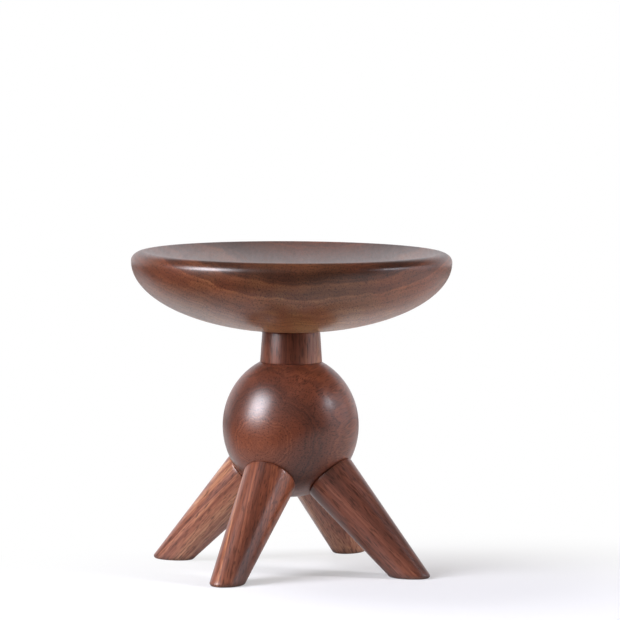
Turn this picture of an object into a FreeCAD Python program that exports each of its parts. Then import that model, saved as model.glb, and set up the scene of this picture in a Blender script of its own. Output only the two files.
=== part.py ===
import FreeCAD, Part
import math
import os

# Turned hardwood stool: a dished round seat on a short neck, a ball, and four splayed legs.
# Millimetres. Z is up and -Y is the front. The origin is on the floor, under the middle of the seat.

# Seat
seat_diameter = 400.0
bowl_depth = 88.4            # the underside is half an ellipse, this deep below the widest line
rim_rise = 11.7              # crown of the rim above the widest line
rim_crown_inset = 16.0       # crown of the rim in from the widest line
rim_roll_radius = 10.0       # roll from the crown down into the dish
dish_depth = 22.0            # middle of the dish below the crown

# Neck
neck_height = 39.1
neck_top_diameter = 72.2
neck_base_diameter = 77.4
neck_edge_ease = 1.0

# Ball
ball_diameter = 170.0
ball_height = 179.0
ball_centre_level = 179.4

# Legs
leg_tilt = 44.0              # degrees from upright
leg_crossing_drop = 3.1      # the four leg axes meet this far below the ball's centre
leg_top_diameter = 65.9      # square to the leg, where its axis meets the ball
leg_foot_diameter = 39.9     # square to the leg, where its axis meets the floor
leg_top_ease = 2.0
foot_ease = 3.0
leg_corners = ["rear_right", "rear_left", "front_left", "front_right"]   # in turn round the axis

# Dowels
centre_dowel_diameter = 32.0
centre_dowel_in_seat = 36.0
centre_dowel_in_ball = 58.0
leg_dowel_diameter = 25.0
leg_dowel_in_ball = 38.0
leg_dowel_in_leg = 42.0
dowel_end_chamfer = 2.0
dowel_flute_radius = 1.0
dowel_flute_count = 8

# Fits
dowel_clearance = 0.1        # glue film round a dowel
dowel_end_room = 1.5         # room for glue past each end of a dowel
leg_joint_gap = 0.1          # glue film between a hollowed leg top and the ball

up = FreeCAD.Vector(0, 0, 1)


def profile_point(radius, level):
    return FreeCAD.Vector(radius, 0, level)


def ellipse_height(half_width, half_height, radius):
    return half_height * math.sqrt(1 - (radius / half_width) ** 2)


seat_radius = seat_diameter / 2
neck_top_radius = neck_top_diameter / 2
neck_base_radius = neck_base_diameter / 2
ball_radius = ball_diameter / 2
ball_half_height = ball_height / 2
leg_top_radius = leg_top_diameter / 2
leg_foot_radius = leg_foot_diameter / 2
centre_bore_radius = centre_dowel_diameter / 2 + dowel_clearance
leg_bore_radius = leg_dowel_diameter / 2 + dowel_clearance

# Levels, from the ball upward. The ball is cut flat where the neck's base circle just fits on it,
# and the seat is cut flat where the neck's top circle just fits.
neck_base_level = ball_centre_level + ellipse_height(ball_radius, ball_half_height, neck_base_radius)
neck_top_level = neck_base_level + neck_height
widest_level = neck_top_level + ellipse_height(seat_radius, bowl_depth, neck_top_radius)
crown_level = widest_level + rim_rise
dish_level = crown_level - dish_depth

# Distances along a leg's axis, from the point where the four axes meet.
tilt = math.radians(leg_tilt)
leg_crossing_level = ball_centre_level - leg_crossing_drop
floor_distance = leg_crossing_level / math.cos(tilt)


def ball_distance_along_leg():
    # Solves the ellipse of the ball for the point where a leg's axis leaves it.
    a = (math.sin(tilt) / ball_radius) ** 2 + (math.cos(tilt) / ball_half_height) ** 2
    b = 2 * leg_crossing_drop * math.cos(tilt) / ball_half_height ** 2
    c = (leg_crossing_drop / ball_half_height) ** 2 - 1
    return (math.sqrt(b * b - 4 * a * c) - b) / (2 * a)


joint_distance = ball_distance_along_leg()
leg_taper = (leg_top_radius - leg_foot_radius) / (floor_distance - joint_distance)


def leg_azimuth(corner):
    # Evenly spaced, with the first leg halfway from +X to +Y.
    return (leg_corners.index(corner) + 0.5) * 360 / len(leg_corners)


def leg_direction(azimuth):
    turn = math.radians(azimuth)
    return FreeCAD.Vector(
        math.sin(tilt) * math.cos(turn), math.sin(tilt) * math.sin(turn), -math.cos(tilt))


def leg_point(azimuth, distance):
    return FreeCAD.Vector(0, 0, leg_crossing_level) + leg_direction(azimuth) * distance


def ellipse_arc(centre, half_width, half_height, start, end):
    # Start to end runs anticlockwise, seen with X to the right and Z up.
    side = centre + profile_point(half_width, 0)
    top = centre + profile_point(0, half_height)
    if half_width < half_height:
        ellipse = Part.Ellipse(top, side, centre)
        return ellipse.toShape(ellipse.parameter(end), ellipse.parameter(start))
    ellipse = Part.Ellipse(side, top, centre)
    return ellipse.toShape(ellipse.parameter(start), ellipse.parameter(end))


def round_arc(centre, radius, start, end):
    # The short arc from start to end about a centre.
    middle = (start + end) * 0.5 - centre
    middle.normalize()
    return Part.Arc(start, centre + middle * radius, end).toShape()


def turned(edges):
    # A solid turned about the stool's axis from the outline on one side of it.
    face = Part.Face(Part.Wire(edges))
    return face.revolve(FreeCAD.Vector(0, 0, 0), up, 360)


def cylinder_along(start, end, radius):
    run = end - start
    return Part.makeCylinder(radius, run.Length, start, run)


def dowel(start, end, diameter):
    # A grooved dowel with chamfered ends.
    radius = diameter / 2
    run = end - start
    rod = Part.makeCylinder(radius, run.Length)
    rims = [edge for edge in rod.Edges if edge.isClosed()]
    rod = rod.makeChamfer(dowel_end_chamfer, rims)
    flutes = []
    for index in range(dowel_flute_count):
        turn = 2 * math.pi * index / dowel_flute_count
        place = FreeCAD.Vector(radius * math.cos(turn), radius * math.sin(turn), 0)
        flutes.append(Part.makeCylinder(dowel_flute_radius, run.Length, place))
    rod = rod.cut(flutes)
    rod.Placement = FreeCAD.Placement(start, FreeCAD.Rotation(up, run))
    return rod


def make_seat():
    crown_radius = seat_radius - rim_crown_inset
    landing = profile_point(neck_top_radius, neck_top_level)
    widest = profile_point(seat_radius, widest_level)
    crown = profile_point(crown_radius, crown_level)
    dish_middle = profile_point(0, dish_level)
    landing_middle = profile_point(0, neck_top_level)
    # The roll and the dish are arcs that share a tangent, so their centres stand this far apart.
    centre_gap = (crown_radius ** 2 + dish_depth ** 2) / (2 * dish_depth)
    dish_radius = centre_gap - rim_roll_radius
    roll_centre = profile_point(crown_radius, crown_level - rim_roll_radius)
    dish_centre = profile_point(0, dish_level + dish_radius)
    roll_end = roll_centre + (dish_centre - roll_centre) * (rim_roll_radius / centre_gap)
    outline = [
        Part.LineSegment(landing_middle, landing).toShape(),
        ellipse_arc(profile_point(0, widest_level), seat_radius, bowl_depth, landing, widest),
        ellipse_arc(profile_point(crown_radius, widest_level), rim_crown_inset, rim_rise, widest, crown),
        round_arc(roll_centre, rim_roll_radius, crown, roll_end),
        round_arc(dish_centre, dish_radius, roll_end, dish_middle),
        Part.LineSegment(dish_middle, landing_middle).toShape(),
    ]
    bore_top = profile_point(0, neck_top_level + centre_dowel_in_seat + dowel_end_room)
    bore = cylinder_along(landing_middle, bore_top, centre_bore_radius)
    return turned(outline).cut(bore)


def make_neck():
    blank = Part.makeCone(neck_base_radius, neck_top_radius, neck_height, profile_point(0, neck_base_level))
    rims = [edge for edge in blank.Edges if edge.isClosed()]
    blank = blank.makeFillet(neck_edge_ease, rims)
    bore = cylinder_along(
        profile_point(0, neck_base_level), profile_point(0, neck_top_level), centre_bore_radius)
    return blank.cut(bore)


def whole_ball(allowance):
    # The ball before any cut, swollen all round by an allowance.
    half_width = ball_radius + allowance
    half_height = ball_half_height + allowance
    centre = profile_point(0, ball_centre_level)
    bottom = centre - profile_point(0, half_height)
    top = centre + profile_point(0, half_height)
    outline = [
        ellipse_arc(centre, half_width, half_height, bottom, top),
        Part.LineSegment(top, bottom).toShape(),
    ]
    return turned(outline)


def make_ball():
    centre = profile_point(0, ball_centre_level)
    bottom = profile_point(0, ball_centre_level - ball_half_height)
    flat_edge = profile_point(neck_base_radius, neck_base_level)
    flat_middle = profile_point(0, neck_base_level)
    outline = [
        ellipse_arc(centre, ball_radius, ball_half_height, bottom, flat_edge),
        Part.LineSegment(flat_edge, flat_middle).toShape(),
        Part.LineSegment(flat_middle, bottom).toShape(),
    ]
    centre_mortise_level = neck_base_level - centre_dowel_in_ball - dowel_end_room
    mortises = [cylinder_along(profile_point(0, centre_mortise_level), flat_middle, centre_bore_radius)]
    for corner in leg_corners:
        azimuth = leg_azimuth(corner)
        mortises.append(cylinder_along(
            leg_point(azimuth, joint_distance - leg_dowel_in_ball - dowel_end_room),
            leg_point(azimuth, joint_distance + leg_top_radius),
            leg_bore_radius))
    return turned(outline).cut(mortises)


def edges_on(shape, surface_kind):
    return [edge for face in shape.Faces if face.Surface.TypeId == surface_kind for edge in face.Edges]


def make_leg(azimuth):
    # A tapered rod, cut off at the floor and hollowed to sit on the ball, with both sharp edges rounded.
    blank_start = joint_distance - leg_top_radius
    blank_end = floor_distance + 2 * leg_foot_radius * math.tan(tilt)
    blank = Part.makeCone(
        leg_foot_radius + leg_taper * (floor_distance - blank_start),
        leg_foot_radius + leg_taper * (floor_distance - blank_end),
        blank_end - blank_start,
        leg_point(azimuth, blank_start),
        leg_direction(azimuth))
    ground_size = 2 * blank_end
    ground_corner = FreeCAD.Vector(-ground_size / 2, -ground_size / 2, -ground_size)
    ground = Part.makeBox(ground_size, ground_size, ground_size, ground_corner)
    leg = blank.cut([ground, whole_ball(leg_joint_gap)])
    leg = leg.makeFillet(foot_ease, edges_on(leg, "Part::GeomPlane"))
    leg = leg.makeFillet(leg_top_ease, edges_on(leg, "Part::GeomSurfaceOfRevolution"))
    bore = cylinder_along(
        leg_point(azimuth, blank_start),
        leg_point(azimuth, joint_distance + leg_dowel_in_leg + dowel_end_room),
        leg_bore_radius)
    return leg.cut(bore)


def make_leg_dowel(azimuth):
    return dowel(
        leg_point(azimuth, joint_distance - leg_dowel_in_ball),
        leg_point(azimuth, joint_distance + leg_dowel_in_leg),
        leg_dowel_diameter)


def make_centre_dowel():
    return dowel(
        profile_point(0, neck_base_level - centre_dowel_in_ball),
        profile_point(0, neck_top_level + centre_dowel_in_seat),
        centre_dowel_diameter)


pieces = {
    "seat": make_seat(),
    "neck": make_neck(),
    "ball": make_ball(),
    "centre_dowel": make_centre_dowel(),
}
for corner in leg_corners:
    pieces["leg_" + corner] = make_leg(leg_azimuth(corner))
    pieces["leg_dowel_" + corner] = make_leg_dowel(leg_azimuth(corner))

os.makedirs("parts", exist_ok=True)
for name, shape in pieces.items():
    shape.exportStep("parts/" + name + ".step")
    print(name, "solids", len(shape.Solids), "valid", shape.isValid(), "volume", round(shape.Volume))
print("stool height", round(crown_level, 2))
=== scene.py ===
import math

import bmesh
import bpy
from mathutils import Matrix, Vector


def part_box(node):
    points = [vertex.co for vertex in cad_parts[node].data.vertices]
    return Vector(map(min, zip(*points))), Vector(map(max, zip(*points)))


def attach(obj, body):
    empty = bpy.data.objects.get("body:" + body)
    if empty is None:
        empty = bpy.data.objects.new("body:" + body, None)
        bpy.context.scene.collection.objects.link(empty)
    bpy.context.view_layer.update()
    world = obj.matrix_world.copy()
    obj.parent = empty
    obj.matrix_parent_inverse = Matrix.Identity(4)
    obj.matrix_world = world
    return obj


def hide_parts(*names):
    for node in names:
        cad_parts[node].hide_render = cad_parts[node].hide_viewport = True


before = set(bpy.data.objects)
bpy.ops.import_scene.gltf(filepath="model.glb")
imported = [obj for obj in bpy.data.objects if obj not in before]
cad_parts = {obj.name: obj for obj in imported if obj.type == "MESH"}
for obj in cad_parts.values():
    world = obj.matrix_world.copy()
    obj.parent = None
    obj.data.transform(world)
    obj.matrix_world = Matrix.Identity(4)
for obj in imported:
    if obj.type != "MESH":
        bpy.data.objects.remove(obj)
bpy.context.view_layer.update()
mm = 0.001
upward = Vector((0, 0, 1))
print("frame loaded:", len(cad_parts), "nodes")


# the view: from the front, swung a little to the stool's left, with a long lens

viewpoint = {
    "swing": 18.003,       # degrees round from the front
    "pitch": 4.979,        # degrees down
    "roll": 0.352,         # degrees
    "back": 5.472,         # metres from the stool's axis
    "aside": 0.0232,       # metres to the right
    "height": 0.8008,      # metres above the floor
    "lens": 255.96,        # millimetres
    "sensor": 36,          # millimetres wide
    "farthest": 100,       # metres that the camera sees
}
swing = math.radians(viewpoint["swing"])
intoView = Vector((math.sin(swing), math.cos(swing), 0))
rightInView = Vector((math.cos(swing), -math.sin(swing), 0))


def addObject(name, data):
    thing = bpy.data.objects.new(name, data)
    bpy.context.scene.collection.objects.link(thing)
    return thing


def addCamera():
    lens = bpy.data.cameras.new("longLens")
    lens.lens = viewpoint["lens"]
    lens.sensor_width = viewpoint["sensor"]
    lens.clip_end = viewpoint["farthest"]
    camera = addObject("camera", lens)
    stand = rightInView * viewpoint["aside"] - intoView * viewpoint["back"]
    camera.location = stand + upward * viewpoint["height"]
    turn = Matrix.Rotation(-swing, 3, "Z")
    turn @= Matrix.Rotation(math.radians(90 - viewpoint["pitch"]), 3, "X")
    turn @= Matrix.Rotation(math.radians(viewpoint["roll"]), 3, "Z")
    camera.rotation_euler = turn.to_euler()
    bpy.context.scene.camera = camera


# small helpers for nodes and meshes

meshCare = {
    "weld": 0.001 * mm,    # points closer than this become one
    "sharp": 35,           # degrees between two faces that make a sharp edge
}


def hexColour(code):
    # sRGB hex to the linear RGBA that shader sockets take
    channels = [int(code[place:place + 2], 16) / 255 for place in (1, 3, 5)]
    return [c / 12.92 if c <= 0.04045 else ((c + 0.055) / 1.055) ** 2.4 for c in channels] + [1.0]


def addNode(tree, kind, settings, sockets):
    # a socket is given a value, or another node's output to link from
    node = tree.nodes.new("ShaderNode" + kind)
    for key, value in settings.items():
        if key == "stops":
            elements = node.color_ramp.elements
            while len(elements) < len(value):
                elements.new(1.0)
            for element, (place, colour) in zip(elements, value):
                element.position = place
                element.color = colour
        else:
            setattr(node, key, value)
    for key, value in sockets.items():
        if isinstance(value, bpy.types.NodeSocket):
            tree.links.new(value, node.inputs[key])
        else:
            node.inputs[key].default_value = value
    return node


def emptyTree(owner):
    owner.use_nodes = True
    owner.node_tree.nodes.clear()
    return owner.node_tree


def arcPoints(centre, halfWidth, halfHeight, start, end, steps):
    # along an ellipse in the turning plane, in degrees from straight out
    points = []
    for step in range(steps + 1):
        angle = math.radians(start + (end - start) * step / steps)
        points.append((centre[0] + halfWidth * math.cos(angle), centre[1] + halfHeight * math.sin(angle)))
    return points


def skinMesh(name, columns):
    # joins columns of points side by side, all the way round, and welds the points that coincide
    build = bmesh.new()
    lines = [[build.verts.new(point) for point in column] for column in columns]
    for here, there in zip(lines, lines[1:] + lines[:1]):
        for row in range(len(here) - 1):
            build.faces.new((here[row], there[row], there[row + 1], here[row + 1]))
    bmesh.ops.remove_doubles(build, verts=build.verts, dist=meshCare["weld"])
    bmesh.ops.recalc_face_normals(build, faces=build.faces)
    mesh = bpy.data.meshes.new(name)
    build.to_mesh(mesh)
    build.free()
    return mesh


def latheMesh(name, outline, segments):
    columns = []
    for segment in range(segments):
        turn = 2 * math.pi * segment / segments
        columns.append([Vector((r * math.cos(turn), r * math.sin(turn), z)) for r, z in outline])
    return skinMesh(name, columns)


def addPiece(mesh, node, material):
    piece = addObject(mesh.name, mesh)
    mesh.shade_smooth()
    mesh.set_sharp_from_angle(angle=math.radians(meshCare["sharp"]))
    mesh.materials.append(material)
    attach(piece, "root")
    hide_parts(node)


# Tzalam, turned, sanded fine and oiled: a reddish-brown tropical hardwood with dark purple-brown bands,
# orange streaks and short open pores, which drifts to a greyer or yellower brown in places. The oil leaves
# a satin skin that shows broad soft highlights.

woodLook = {                     # each hue runs from the darkest tone to the lightest
    "reddish": [(0.0, "#2c1915"), (0.25, "#4b281d"), (0.5, "#6a3725"), (0.75, "#8d4e33"), (1.0, "#b4734a")],
    "dusky": [(0.0, "#2a1b18"), (0.25, "#482b23"), (0.5, "#653c30"), (0.75, "#865544"), (1.0, "#b08062")],
    "tawny": [(0.0, "#2a1b15"), (0.25, "#482b1e"), (0.5, "#653d28"), (0.75, "#875639"), (1.0, "#b08055")],
    "driftNoise": (0.35, 0.65),  # noise over which the hue turns from one to the other
    "poreNoise": (0.33, 0.46),   # noise at the bottom of a pore, and at its edge
    "poreShade": 0.48,
    "poreDepth": 0.04 * mm,
    "poreBump": 0.5,
    "bandDetail": 2.0,
    "paintedSideShadeSpan": 100.0,           # millimetres sideways that cost a log its full painted side shade
    "scuffAndShadeHeight": 9 * mm,       # the feet are rubbed dull up to here, and painted darker there as contact shade near the floor
    # the tone kept at the floor: painted contact shade
    "paintedContactShade": 0.6,
    "scuffRoughness": 0.12,
    "roughness": 0.31,
    "roughnessSwing": 0.02,
    "sheenNoise": (0.3, 0.7),    # noise over which the roughness swings
    "ior": 1.5,
}
woodGrain = {                    # millimetres across and along the fibre
    "wander": {"across": 55, "along": 320, "detail": 2.0},
    "waver": {"across": 9, "along": 110, "detail": 2.0},
    "cloud": {"across": 18, "along": 90, "detail": 2.0},
    "streak": {"across": 1.6, "along": 60, "detail": 3.0},
    "pore": {"across": 1.7, "along": 14, "detail": 1.0},     # several times the real size, to show
    "sheen": {"across": 4, "along": 60, "detail": 2.0},
}
toneSwing = {"cloud": 0.5, "streak": 0.55, "band": 1.0}


def logFields(tree, place, log):
    # the piece's place in its log, the noise there, and how far out from the middle's ring that is
    fibre = log["fibre"].normalized()
    outward = (log["outward"] - fibre * log["outward"].dot(fibre)).normalized()    # away from the pith
    pith = log["middle"] - outward * log["pithDistance"] * mm
    toLog = Matrix((outward, fibre.cross(outward), fibre))
    inLog = addNode(tree, "Mapping", {}, {
        "Vector": place.outputs["Object"],
        "Location": toLog @ pith / -mm,
        "Rotation": toLog.to_euler(),
        "Scale": [1 / mm] * 3}).outputs[0]                   # log space is in millimetres, fibre along Z
    fields = {}
    for layer, grain in woodGrain.items():
        stretched = addNode(tree, "VectorMath", {"operation": "DIVIDE"}, {
            0: inLog, 1: (grain["across"], grain["across"], grain["along"])})
        fields[layer] = addNode(tree, "TexNoise", {}, {
            "Vector": stretched.outputs[0], "Scale": 1.0, "Detail": grain["detail"]}).outputs[0]
    crossCut = addNode(tree, "VectorMath", {"operation": "MULTIPLY"}, {0: inLog, 1: (1, 1, 0)})
    radius = addNode(tree, "VectorMath", {"operation": "LENGTH"}, {0: crossCut.outputs[0]})
    zero = log["pithDistance"] + sum(log["stray"].values()) / 2
    ring = addNode(tree, "Math", {"operation": "SUBTRACT"}, {
        0: radius.outputs["Value"], 1: zero}).outputs[0]
    for layer, amount in log["stray"].items():
        ring = addNode(tree, "Math", {"operation": "MULTIPLY_ADD"}, {
            0: fields[layer], 1: amount, 2: ring}).outputs[0]
    bandPlace = addNode(tree, "Math", {"operation": "DIVIDE"}, {0: ring, 1: log["bandWidth"]})
    fields["band"] = addNode(tree, "TexNoise", {"noise_dimensions": "1D"}, {
        "W": bandPlace.outputs[0], "Scale": 1.0, "Detail": woodLook["bandDetail"]}).outputs[0]
    return inLog, fields, ring


def logTone(tree, inLog, fields, ring, log):
    # light and dark: broad zones first, then the finer layers, then painted shade towards the sides
    first, last = log["zones"][0][0], log["zones"][-1][0]
    depth = addNode(tree, "MapRange", {}, {"Value": ring, "From Min": first, "From Max": last})
    stops = [((at - first) / (last - first), (tone, tone, tone, 1)) for at, tone in log["zones"]]
    tone = addNode(tree, "ValToRGB", {"stops": stops}, {"Fac": depth.outputs[0]}).outputs["Color"]
    for layer, amount in toneSwing.items():
        tone = addNode(tree, "Math", {"operation": "MULTIPLY_ADD"}, {
            0: fields[layer], 1: amount * log["contrast"], 2: tone}).outputs[0]
    # painted shade: darker towards the sides, with the square of the way sideways
    across = addNode(tree, "SeparateXYZ", {}, {0: inLog})
    sideways = addNode(tree, "Math", {"operation": "DIVIDE"}, {
        0: across.outputs["Y"], 1: woodLook["paintedSideShadeSpan"]})
    squared = addNode(tree, "Math", {"operation": "POWER"}, {0: sideways.outputs[0], 1: 2.0})
    tone = addNode(tree, "Math", {"operation": "MULTIPLY_ADD"}, {
        0: squared.outputs[0], 1: -log["paintedSideShade"], 2: tone}).outputs[0]
    middle = sum(toneSwing.values()) * log["contrast"] / 2
    return addNode(tree, "Math", {"operation": "SUBTRACT"}, {0: tone, 1: middle}).outputs[0]


def oiledTzalam(name, log):
    material = bpy.data.materials.new(name)
    tree = emptyTree(material)
    place = addNode(tree, "TexCoord", {}, {})
    inLog, fields, ring = logFields(tree, place, log)
    tone = logTone(tree, inLog, fields, ring, log)

    # the hue drifts from reddish to the one that the log turns to
    hues = []
    for hue in ("reddish", log["turns"]):
        stops = [(at, hexColour(code)) for at, code in woodLook[hue]]
        hues.append(addNode(tree, "ValToRGB", {"stops": stops}, {"Fac": tone}).outputs["Color"])
    drift = addNode(tree, "MapRange", {}, {
        "Value": fields["wander"],
        "From Min": woodLook["driftNoise"][0], "From Max": woodLook["driftNoise"][1],
        "To Min": log["turned"][0], "To Max": log["turned"][1]})
    wood = addNode(tree, "Mix", {"data_type": "RGBA"}, {0: drift.outputs[0], 6: hues[0], 7: hues[1]})

    # pores darken it, and painted contact shade darkens the feet near the floor
    pores = addNode(tree, "MapRange", {}, {
        "Value": fields["pore"], "To Min": woodLook["poreShade"],
        "From Min": woodLook["poreNoise"][0], "From Max": woodLook["poreNoise"][1]})
    level = addNode(tree, "SeparateXYZ", {}, {0: place.outputs["Object"]})
    # a mask that rubs the feet dull and paints contact shade on them near the floor
    scuffAndContactShade = addNode(tree, "MapRange", {"interpolation_type": "SMOOTHSTEP"}, {
        "Value": level.outputs["Z"], "From Min": 0.0, "From Max": woodLook["scuffAndShadeHeight"],
        "To Min": 1.0, "To Max": 0.0})
    paintedContactShadeFactor = addNode(tree, "MapRange", {}, {
        "Value": scuffAndContactShade.outputs[0], "To Min": 1.0, "To Max": woodLook["paintedContactShade"]})
    shade = addNode(tree, "Math", {"operation": "MULTIPLY"}, {0: pores.outputs[0], 1: paintedContactShadeFactor.outputs[0]})
    shaded = addNode(tree, "Mix", {"data_type": "RGBA", "blend_type": "MULTIPLY"}, {
        0: 1.0, 6: wood.outputs[2], 7: shade.outputs[0]})

    oiled = addNode(tree, "MapRange", {}, {
        "Value": fields["sheen"],
        "From Min": woodLook["sheenNoise"][0], "From Max": woodLook["sheenNoise"][1],
        "To Min": woodLook["roughness"] - woodLook["roughnessSwing"],
        "To Max": woodLook["roughness"] + woodLook["roughnessSwing"]})
    roughness = addNode(tree, "Math", {"operation": "MULTIPLY_ADD"}, {
        0: scuffAndContactShade.outputs[0], 1: woodLook["scuffRoughness"], 2: oiled.outputs[0]})
    bump = addNode(tree, "Bump", {}, {
        "Strength": woodLook["poreBump"], "Distance": woodLook["poreDepth"], "Height": pores.outputs[0]})
    surface = addNode(tree, "BsdfPrincipled", {}, {
        "Base Color": shaded.outputs[2], "Roughness": roughness.outputs[0], "IOR": woodLook["ior"],
        "Normal": bump.outputs[0]})
    addNode(tree, "OutputMaterial", {}, {"Surface": surface.outputs[0]})
    return material


# shared sizes

seatLow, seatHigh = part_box("seat")
neckLow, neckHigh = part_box("neck")
ballLow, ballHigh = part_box("ball")
dowelLow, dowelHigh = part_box("centre_dowel")
fit = {
    "neckTopDiameter": 72.2 * mm,      # the seat is cut flat to this
    "neckBaseDiameter": 77.4 * mm,     # and the ball to this
    "dowelClearance": 0.1 * mm,
    "dowelEndRoom": 1.5 * mm,
    "legJointGap": 0.1 * mm,
}
neckTop = fit["neckTopDiameter"] / 2
neckBase = fit["neckBaseDiameter"] / 2
centreBore = dowelHigh.x + fit["dowelClearance"]


# seat: one thick turned block with a rolled rim and a shallow dish

seatShape = {
    "rimRise": 11.7 * mm,        # crown of the rim above the widest line
    "crownInset": 16 * mm,
    "rollRadius": 10 * mm,       # from the crown down into the dish
    "dishDepth": 22 * mm,
    "segments": 256,
    "bowlSteps": 64,
    "crownSteps": 20,
    "rollSteps": 10,
    "dishSteps": 40,
}
seatLog = {                      # a slab with the pith side up, its fibre running away from the view
    "middle": Vector((0, 0, 0.35)) + rightInView * 24 * mm,
    "fibre": intoView,
    "outward": -upward,
    "pithDistance": 357,                         # millimetres, like the lengths below
    "stray": {"wander": 22, "waver": 1.6},       # how far each noise bends the growth rings
    "zones": [                                   # how far out from the middle's ring, and the tone there
        (-60, 0.48), (-50, 0.54), (-44, 0.32), (-38, 0.4), (-32, 0.28), (-26, 0.26), (-22, 0.32),
        (-18, 0.4), (-14, 0.6), (-10, 0.58), (-7, 0.5), (-3, 0.62), (1, 0.74), (6, 0.68), (10, 0.78),
        (18, 0.74), (24, 0.82), (34, 0.82), (46, 0.95), (60, 0.92)],
    "turns": "tawny",            # the hue that reddish drifts to
    "turned": (0.2, 1),          # the least and the most of it
    "bandWidth": 4.5,
    "contrast": 0.55,
    "paintedSideShade": 0.1,             # painted shade towards the seat's left and right: tone lost, times the square of the way sideways
}


def seatOutline():
    reach = seatHigh.x
    inset, rise = seatShape["crownInset"], seatShape["rimRise"]
    crown = (reach - inset, seatHigh.z)
    widest = seatHigh.z - rise
    landing = math.acos(neckTop / reach)
    bowlDepth = (widest - seatLow.z) / math.sin(landing)
    dish = seatShape["dishDepth"]
    roll = seatShape["rollRadius"]
    dishRadius = (crown[0] ** 2 + dish ** 2) / (2 * dish) - roll       # shares a tangent with the roll
    dishCentre = (0, crown[1] - dish + dishRadius)
    rollCentre = (crown[0], crown[1] - roll)
    rollEnd = math.degrees(math.atan2(dishCentre[1] - rollCentre[1], -rollCentre[0]))
    boreTop = dowelHigh.z + fit["dowelEndRoom"]
    outline = [(0, boreTop), (centreBore, boreTop), (centreBore, seatLow.z)]
    outline += arcPoints((0, widest), reach, bowlDepth, -math.degrees(landing), 0, seatShape["bowlSteps"])
    outline += arcPoints((crown[0], widest), inset, rise, 0, 90, seatShape["crownSteps"])
    outline += arcPoints(rollCentre, roll, roll, 90, rollEnd, seatShape["rollSteps"])
    outline += arcPoints(dishCentre, dishRadius, dishRadius, rollEnd - 180, -90, seatShape["dishSteps"])
    return outline


# neck: a short tapered spacer, bored right through for the dowel

neckShape = {
    "edgeEase": 1.0 * mm,
    "easeSteps": 8,
    "segments": 128,
}
neckLog = {
    "middle": Vector((0, 0, 0.28)),
    "fibre": upward,
    "outward": rightInView,
    "pithDistance": 120,
    "stray": {"wander": 8, "waver": 2.4},
    "zones": [
        (-40, 0.74), (-28, 0.62), (-14, 0.64), (-4, 0.5), (6, 0.46), (14, 0.54), (24, 0.76), (40, 0.82)],
    "turns": "dusky",
    "turned": (0.1, 0.8),
    "bandWidth": 3.0,
    "contrast": 0.5,
    "paintedSideShade": 0,
}


def neckOutline():
    ease, steps = neckShape["edgeEase"], neckShape["easeSteps"]
    lean = math.atan2(neckBase - neckTop, neckHigh.z - neckLow.z)
    inset = ease / math.cos(lean)

    def slantAt(level):
        return neckBase - (level - neckLow.z) * math.tan(lean)

    low, high = neckLow.z + ease, neckHigh.z - ease
    slant = math.degrees(lean)
    outline = [(centreBore, neckLow.z)]
    outline += arcPoints((slantAt(low) - inset, low), ease, ease, -90, slant, steps)
    outline += arcPoints((slantAt(high) - inset, high), ease, ease, slant, 90, steps)
    return outline + [(centreBore, neckHigh.z), (centreBore, neckLow.z)]


# legs: straight tapered rods, coped to the ball at the top and cut off at the floor

legShape = {
    "tilt": 44.0,                # degrees from upright
    "crossingDrop": 3.1 * mm,    # the axes meet this far below the ball's middle
    "topDiameter": 65.9 * mm,
    "footDiameter": 39.9 * mm,
    "topEase": 2.0 * mm,
    "footEase": 3.0 * mm,
    "dowelDiameter": 25 * mm,
    "dowelInBall": 38 * mm,
    "dowelInLeg": 42 * mm,
    "segments": 120,
    "shaftRings": 40,
    "easeSteps": 6,
    "copeShares": (0, 0.35, 0.7),      # rings of the hollow, from the bore towards its rim
}
ballShape = {
    "height": 179 * mm,
    "segments": 192,
    "rings": 96,
    "boreSegments": 48,
}
ballReach = ballHigh.x
ballHalf = ballShape["height"] / 2
ballMiddle = Vector((0, 0, ballLow.z + ballHalf))
legCrossing = ballMiddle - upward * legShape["crossingDrop"]
legBore = legShape["dowelDiameter"] / 2 + fit["dowelClearance"]
legCorners = {"rear_right": 45, "rear_left": 135, "front_left": 225, "front_right": 315}    # degrees


def legDirection(azimuth):
    tilt, turn = math.radians(legShape["tilt"]), math.radians(azimuth)
    return Vector((math.sin(tilt) * math.cos(turn), math.sin(tilt) * math.sin(turn), -math.cos(tilt)))


def leaveBall(start, run, allowance):
    # where a line leaves the ball, swollen by an allowance
    squeeze = Vector((1 / (ballReach + allowance), 1 / (ballReach + allowance), 1 / (ballHalf + allowance)))
    origin = (start - ballMiddle) * squeeze
    step = run * squeeze
    a, b, c = step.dot(step), 2 * origin.dot(step), origin.dot(origin) - 1
    return start + run * ((math.sqrt(b * b - 4 * a * c) - b) / (2 * a))


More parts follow.
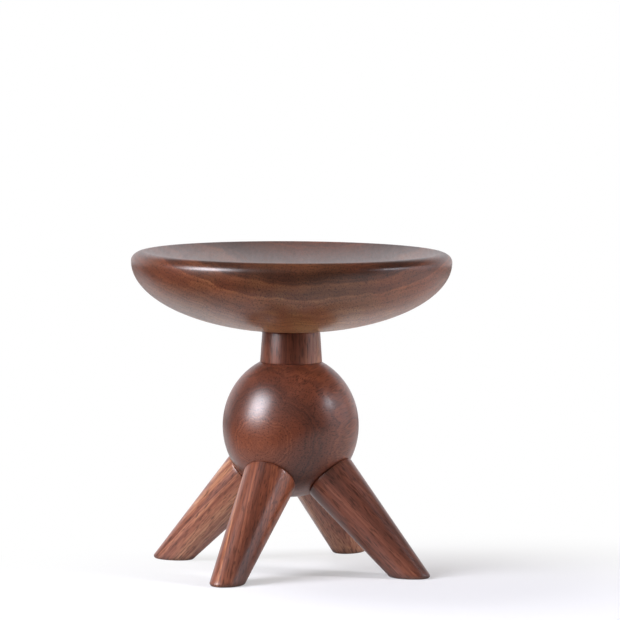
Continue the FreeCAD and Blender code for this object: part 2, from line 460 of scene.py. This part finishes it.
def legMesh(name, azimuth):
    along = legDirection(azimuth)
    side = along.cross(upward).normalized()
    over = side.cross(along)
    floorAt = legCrossing.z / -along.z
    jointAt = (leaveBall(legCrossing, along, 0) - legCrossing).length
    taper = (legShape["topDiameter"] - legShape["footDiameter"]) / 2 / (floorAt - jointAt)
    slope = math.sqrt(1 + taper * taper)
    startRadius = legShape["footDiameter"] / 2 + taper * floorAt       # of the cone, where the axes cross
    boreEnd = jointAt + legShape["dowelInLeg"] + fit["dowelEndRoom"]
    sole = legCrossing + along * floorAt
    topEase, footEase = legShape["topEase"], legShape["footEase"]
    easeShares = [step / legShape["easeSteps"] for step in range(legShape["easeSteps"] + 1)]
    shaftShares = [ring / legShape["shaftRings"] for ring in range(1, legShape["shaftRings"])]
    gap = fit["legJointGap"]
    lean = Vector((1 / ballReach ** 2, 1 / ballReach ** 2, 1 / ballHalf ** 2))     # gives the ball's normal
    columns = []
    for segment in range(legShape["segments"]):
        angle = 2 * math.pi * segment / legShape["segments"]
        out = side * math.cos(angle) + over * math.sin(angle)
        normal = (out + along * taper) / slope
        run = along - out * taper

        # a small ball rolled along each sharp edge gives its rounding
        top = leaveBall(legCrossing + out * (startRadius - topEase * slope), run, gap + topEase)
        intoBall = -((top - ballMiddle) * lean).normalized()
        footStart = legCrossing + out * (startRadius - footEase * slope)
        foot = footStart + run * ((footEase - footStart.z) / run.z)
        topArc = [top + intoBall.slerp(normal, share) * topEase for share in easeShares]
        footArc = [foot + normal.slerp(-upward, share) * footEase for share in easeShares]

        boreWall = legCrossing + out * legBore
        rim = topArc[0] - legCrossing
        rim = legCrossing + rim - along * rim.dot(along)     # the coped edge, slid up to the crossing
        column = [legCrossing + along * boreEnd, boreWall + along * boreEnd]
        column += [leaveBall(boreWall.lerp(rim, share), along, gap) for share in legShape["copeShares"]]
        column += topArc
        column += [topArc[-1].lerp(footArc[0], share) for share in shaftShares]
        column += footArc
        column += [footArc[-1].lerp(sole, 0.5), sole]
        columns.append(column)
    return skinMesh(name, columns)


legGrain = {                     # the same for all four
    "logMiddle": 170 * mm,       # down the leg from where the axes cross
    "stray": {"wander": 12, "waver": 2.4},
    "turns": "dusky",
    "paintedSideShade": 0,
}
legLogs = {                      # the slant turns the fibre off the leg's axis
    "front_left": {
        "outward": rightInView, "slant": rightInView * 0.15, "pithDistance": 90,
        "bandWidth": 3.5, "contrast": 0.7, "turned": (0, 0.8),
        "zones": [
            (-34, 0.5), (-22, 0.58), (-17, 0.9), (-13, 0.58), (-6, 0.64), (0, 0.66), (5, 0.44), (12, 0.4),
            (22, 0.54), (34, 0.64)]},
    "front_right": {
        "outward": rightInView + upward, "slant": rightInView * 0.1, "pithDistance": 140,
        "bandWidth": 3.5, "contrast": 0.6, "turned": (0.6, 1),
        "zones": [
            (-34, 0.44), (-22, 0.36), (-13, 0.44), (-6, 0.56), (0, 0.6), (6, 0.44), (14, 0.36), (24, 0.4),
            (34, 0.5)]},
    "rear_left": {
        "outward": upward * 0.6 - rightInView * 0.8, "slant": Vector(), "pithDistance": 90,
        "bandWidth": 2.2, "contrast": 0.75, "turned": (0.6, 1),
        "zones": [
            (-34, 0.66), (-26, 0.74), (-22, 0.6), (-17, 0.82), (-13, 0.72), (-9, 0.86), (-5, 0.74),
            (-1, 0.88), (3, 0.78), (7, 0.84), (11, 0.6), (15, 0.8), (19, 0.54), (24, 0.8), (34, 0.84)]},
    "rear_right": {
        "outward": upward - rightInView * 0.5, "slant": Vector(), "pithDistance": 80,
        "bandWidth": 3.0, "contrast": 0.9, "turned": (0.6, 1),
        "zones": [(-34, 0.64), (-10, 0.9), (0, 0.64), (10, 0.9), (34, 0.7)]},
}


# ball: turned a little taller than wide, flat under the neck, with a mortise for each dowel

ballLog = {                      # the pith comes out low at the front left, with the rings round it
    "middle": ballMiddle,
    "fibre": upward * -0.19 - intoView * 0.88 - rightInView * 0.43,
    "outward": rightInView,
    "pithDistance": 0,
    "stray": {"wander": 26, "waver": 4.5, "cloud": 12},
    "zones": [
        (0, 0.6), (14, 0.58), (26, 0.55), (36, 0.52), (46, 0.46), (54, 0.38), (61, 0.31), (69, 0.33),
        (77, 0.47), (88, 0.52)],
    "turns": "dusky",
    "turned": (0, 0.6),
    "bandWidth": 2.4,
    "contrast": 0.4,
    "paintedSideShade": 0,
}


def ballMesh(name):
    flatAngle = math.degrees(math.acos(neckBase / ballReach))
    outline = arcPoints((0, ballMiddle.z), ballReach, ballHalf, -90, flatAngle, ballShape["rings"])
    mortiseEnd = dowelLow.z - fit["dowelEndRoom"]
    outline += [(centreBore, ballHigh.z), (centreBore, mortiseEnd), (0, mortiseEnd)]
    blank = addObject("ballBlank", latheMesh("ballBlank", outline, ballShape["segments"]))
    length = legShape["dowelInBall"] + legShape["topDiameter"] / 2
    bore = [(0, 0), (legBore, 0), (legBore, length), (0, length)]
    tools = [blank]
    for corner, azimuth in legCorners.items():
        along = legDirection(azimuth)
        joint = leaveBall(legCrossing, along, 0)
        turn = upward.rotation_difference(along).to_matrix()
        start = joint - along * (legShape["dowelInBall"] + fit["dowelEndRoom"])
        drill = latheMesh("drill", bore, ballShape["boreSegments"])
        drill.transform(Matrix.Translation(start) @ turn.to_4x4())
        tools.append(addObject("drill_" + corner, drill))
        cut = blank.modifiers.new(corner, "BOOLEAN")
        cut.object = tools[-1]
        cut.operation = "DIFFERENCE"
        cut.solver = "EXACT"
    bored = bpy.data.meshes.new_from_object(blank.evaluated_get(bpy.context.evaluated_depsgraph_get()))
    bored.name = name
    for tool in tools:
        bpy.data.meshes.remove(tool.data)                    # takes its object along
    return bored


# Beech rod, cut and grooved, left bare: pale and straight-grained, with short darker flecks.
# The joints hide it.

beechLook = {
    "pale": "#d9bd97",
    "fleck": "#b8936a",
    "fleckNoise": (0.35, 0.5),   # noise in a fleck, and where the pale wood starts
    "fleckWidth": 0.8,           # millimetres
    "fleckLength": 5.0,
    "fleckDetail": 2.0,
    "fleckDepth": 0.1 * mm,
    "fleckBump": 0.2,
    "roughness": 0.65,
    "ior": 1.5,
}


def bareBeech(name, along):
    material = bpy.data.materials.new(name)
    tree = emptyTree(material)
    place = addNode(tree, "TexCoord", {}, {})
    inRod = addNode(tree, "Mapping", {}, {
        "Vector": place.outputs["Object"],
        "Rotation": along.rotation_difference(upward).to_euler(),
        "Scale": [1 / mm] * 3})
    width, length = beechLook["fleckWidth"], beechLook["fleckLength"]
    stretched = addNode(tree, "VectorMath", {"operation": "DIVIDE"}, {
        0: inRod.outputs[0], 1: (width, width, length)})
    flecks = addNode(tree, "TexNoise", {}, {
        "Vector": stretched.outputs[0], "Scale": 1.0, "Detail": beechLook["fleckDetail"]})
    colour = addNode(tree, "ValToRGB", {"stops": [
        (beechLook["fleckNoise"][0], hexColour(beechLook["fleck"])),
        (beechLook["fleckNoise"][1], hexColour(beechLook["pale"]))]}, {"Fac": flecks.outputs[0]})
    bump = addNode(tree, "Bump", {}, {
        "Strength": beechLook["fleckBump"], "Distance": beechLook["fleckDepth"],
        "Height": flecks.outputs[0]})
    surface = addNode(tree, "BsdfPrincipled", {}, {
        "Base Color": colour.outputs["Color"], "Roughness": beechLook["roughness"], "IOR": beechLook["ior"],
        "Normal": bump.outputs[0]})
    addNode(tree, "OutputMaterial", {}, {"Surface": surface.outputs[0]})
    return material


def dressDowel(node, material):
    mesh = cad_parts[node].data
    for place in range(len(mesh.materials)):
        mesh.materials[place] = material


# studio: a white floor and a low white backdrop in a dim room, with the key lamps at the left, a pale panel
# and a small lamp at the right, and three lamps that soften the shadows

studio = {
    "floorRadius": 4.0,
    "floorSegments": 128,
    "floorDrop": 0.1 * mm,       # so that it doesn't share a plane with the feet
    "floorSeen": "#dddcde",
    "floorGlow": "#e2dfdd",      # what the floor gives back to the wood
    "floorPaintedShade": "#3a3837",     # and what it gives back at the near left: painted shade, darker light and reflection that only the wood sees
    "nearLeft": intoView * -0.66 - rightInView * 0.75,
    "paintedShadeFrom": 0.0,            # metres towards the near left, over which the painted shade comes in
    "paintedShadeTo": 0.5,
    "whiteShare": 0.1,           # of the floor's middle that is white whatever falls on it
    "fadeCentre": rightInView * 0.2 - intoView * 0.34,
    "fadeFrom": 0.15,            # metres out, where the floor starts to fade into the white
    "fadeTo": 0.7,
    "white": "#ffffff",
    "backdrop": "#fbfaff",
    "backdropSides": (0.4, 0.8),       # cosines of the angle off the view over which it comes in
    "backdropTop": (0.36, 0.56),       # sines of the angle up over which it ends
    "room": "#46423f",
    "lampAim": 0.25,             # metres up the stool's axis
}
lamps = {        # degrees left of the camera, degrees up and metres away; metres wide and high; watts
    # the key: a bright core with a broad haze round it, a card below and a pale wall behind
    "softbox": {"at": (62, 26, 2.3), "size": (0.7, 0.85), "power": 25, "tint": "#f0f3ff", "rays": "glossy"},
    "halo": {"at": (63, 25, 2.35), "size": (1.3, 1.4), "power": 82, "tint": "#f4f6ff", "rays": "all"},
    "lowCard": {"at": (66, 6, 2.4), "size": (1.0, 0.75), "power": 6, "tint": "#f6f8ff", "rays": "all"},
    "leftWall": {"at": (66, 24, 2.45), "size": (2.0, 1.7), "power": 4, "tint": "#f6f8ff", "rays": "all"},
    # the sheen down the right sides
    "sidePanel": {"at": (-92, 13, 2.4), "size": (2.4, 1.4), "power": 15, "tint": "#f2f4ff", "rays": "all"},
    "sideLamp": {"at": (-79, 27, 2.3), "size": (0.4, 0.4), "power": 8, "tint": "#f0f3ff", "rays": "all"},
    # light without highlights, to soften the shadows
    "fill": {"at": (-79, 27, 2.4), "size": (0.5, 0.5), "power": 27, "tint": "#ffffff", "rays": "diffuse"},
    "front": {"at": (18, 36, 2.6), "size": (2.0, 1.4), "power": 13, "tint": "#ffffff", "rays": "diffuse"},
    "ceiling": {"at": (120, 62, 2.4), "size": (0.9, 0.9), "power": 20, "tint": "#ffffff", "rays": "diffuse"},
}


def addLamps():
    for name, lamp in lamps.items():
        left, up = [math.radians(angle) for angle in lamp["at"][:2]]
        level = -intoView * math.cos(left) - rightInView * math.sin(left)
        direction = level * math.cos(up) + upward * math.sin(up)
        light = bpy.data.lights.new(name, "AREA")
        light.shape = "RECTANGLE"
        light.size, light.size_y = lamp["size"]
        light.energy = lamp["power"]
        light.color = hexColour(lamp["tint"])[:3]
        head = addObject(name, light)
        head.location = upward * studio["lampAim"] + direction * lamp["at"][2]
        head.rotation_euler = direction.to_track_quat("Z", "Y").to_euler()
        head.visible_glossy = lamp["rays"] != "diffuse"      # a diffuse lamp makes no highlight
        head.visible_diffuse = lamp["rays"] != "glossy"      # and a glossy one nothing else


def addWorld():
    world = bpy.data.worlds.new("studio")
    bpy.context.scene.world = world
    tree = emptyTree(world)
    direction = addNode(tree, "TexCoord", {}, {})
    apart = addNode(tree, "SeparateXYZ", {}, {0: direction.outputs["Generated"]})
    behind = addNode(tree, "VectorMath", {"operation": "DOT_PRODUCT"}, {
        0: direction.outputs["Generated"], 1: intoView})
    share = addNode(tree, "MapRange", {"interpolation_type": "SMOOTHSTEP"}, {
        "Value": behind.outputs["Value"],
        "From Min": studio["backdropSides"][0], "From Max": studio["backdropSides"][1]})
    low = addNode(tree, "MapRange", {"interpolation_type": "SMOOTHSTEP"}, {
        "Value": apart.outputs["Z"], "To Min": 1.0, "To Max": 0.0,
        "From Min": studio["backdropTop"][0], "From Max": studio["backdropTop"][1]})
    both = addNode(tree, "Math", {"operation": "MULTIPLY"}, {0: share.outputs[0], 1: low.outputs[0]})
    colour = addNode(tree, "ValToRGB", {"stops": [
        (0.0, hexColour(studio["room"])), (1.0, hexColour(studio["backdrop"]))]}, {"Fac": both.outputs[0]})
    around = addNode(tree, "Background", {}, {"Color": colour.outputs["Color"], "Strength": 1.0})
    seen = addNode(tree, "Background", {}, {"Color": hexColour(studio["white"]), "Strength": 1.0})
    ray = addNode(tree, "LightPath", {}, {})
    either = addNode(tree, "MixShader", {}, {
        0: ray.outputs["Is Camera Ray"], 1: around.outputs[0], 2: seen.outputs[0]})
    addNode(tree, "OutputWorld", {}, {"Surface": either.outputs[0]})


# White floor paint, rolled on matt: it keeps the stool's soft shadow and fades into the white all round.

def whitePaintedFloor():
    material = bpy.data.materials.new("whitePaintedFloor")
    tree = emptyTree(material)
    place = addNode(tree, "TexCoord", {}, {})
    away = addNode(tree, "VectorMath", {"operation": "DISTANCE"}, {
        0: place.outputs["Object"], 1: studio["fadeCentre"]})
    share = addNode(tree, "MapRange", {"interpolation_type": "SMOOTHSTEP"}, {
        "Value": away.outputs["Value"], "To Min": studio["whiteShare"],
        "From Min": studio["fadeFrom"], "From Max": studio["fadeTo"]})
    ray = addNode(tree, "LightPath", {}, {})
    glow = addNode(tree, "Math", {"operation": "MULTIPLY"}, {
        0: share.outputs[0], 1: ray.outputs["Is Camera Ray"]})
    # painted shade: towards the near left the floor gives the wood darker light and reflection than the
    # camera sees
    nearer = addNode(tree, "VectorMath", {"operation": "DOT_PRODUCT"}, {
        0: place.outputs["Object"], 1: studio["nearLeft"]})
    shade = addNode(tree, "MapRange", {"interpolation_type": "SMOOTHSTEP"}, {
        "Value": nearer.outputs["Value"], "From Min": studio["paintedShadeFrom"], "From Max": studio["paintedShadeTo"]})
    given = addNode(tree, "ValToRGB", {"stops": [
        (0.0, hexColour(studio["floorGlow"])), (1.0, hexColour(studio["floorPaintedShade"]))]}, {
        "Fac": shade.outputs[0]})
    colour = addNode(tree, "Mix", {"data_type": "RGBA"}, {
        0: ray.outputs["Is Camera Ray"], 6: given.outputs["Color"], 7: hexColour(studio["floorSeen"])})
    paint = addNode(tree, "BsdfDiffuse", {}, {"Color": colour.outputs[2]})
    white = addNode(tree, "Emission", {}, {"Color": hexColour(studio["white"]), "Strength": 1.0})
    both = addNode(tree, "MixShader", {}, {0: glow.outputs[0], 1: paint.outputs[0], 2: white.outputs[0]})
    addNode(tree, "OutputMaterial", {}, {"Surface": both.outputs[0]})
    return material


def addFloor():
    build = bmesh.new()
    bmesh.ops.create_circle(
        build, cap_ends=True, radius=studio["floorRadius"], segments=studio["floorSegments"])
    mesh = bpy.data.meshes.new("studioFloor")
    build.to_mesh(mesh)
    build.free()
    mesh.materials.append(whitePaintedFloor())
    floor = addObject("studioFloor", mesh)
    floor.location.z = -studio["floorDrop"]


# putting it together

seatMesh = latheMesh("dishedSeat", seatOutline(), seatShape["segments"])
addPiece(seatMesh, "seat", oiledTzalam("oiledTzalam_seat", seatLog))
neckMesh = latheMesh("turnedNeck", neckOutline(), neckShape["segments"])
addPiece(neckMesh, "neck", oiledTzalam("oiledTzalam_neck", neckLog))
addPiece(ballMesh("turnedBall"), "ball", oiledTzalam("oiledTzalam_ball", ballLog))
print("seat, neck and ball turned")

dressDowel("centre_dowel", bareBeech("bareBeech_centre", upward))
for corner, azimuth in legCorners.items():
    along = legDirection(azimuth)
    log = {**legGrain, **legLogs[corner]}
    log["middle"] = legCrossing + along * legGrain["logMiddle"]
    log["fibre"] = along + log["slant"]
    legWood = oiledTzalam("oiledTzalam_" + corner, log)
    addPiece(legMesh("splayedLeg_" + corner, azimuth), "leg_" + corner, legWood)
    dressDowel("leg_dowel_" + corner, bareBeech("bareBeech_" + corner, along))
print("legs set:", len(legCorners))

addCamera()
addLamps()
addWorld()
addFloor()
bpy.context.scene.view_settings.view_transform = "Standard"
print("studio lit")
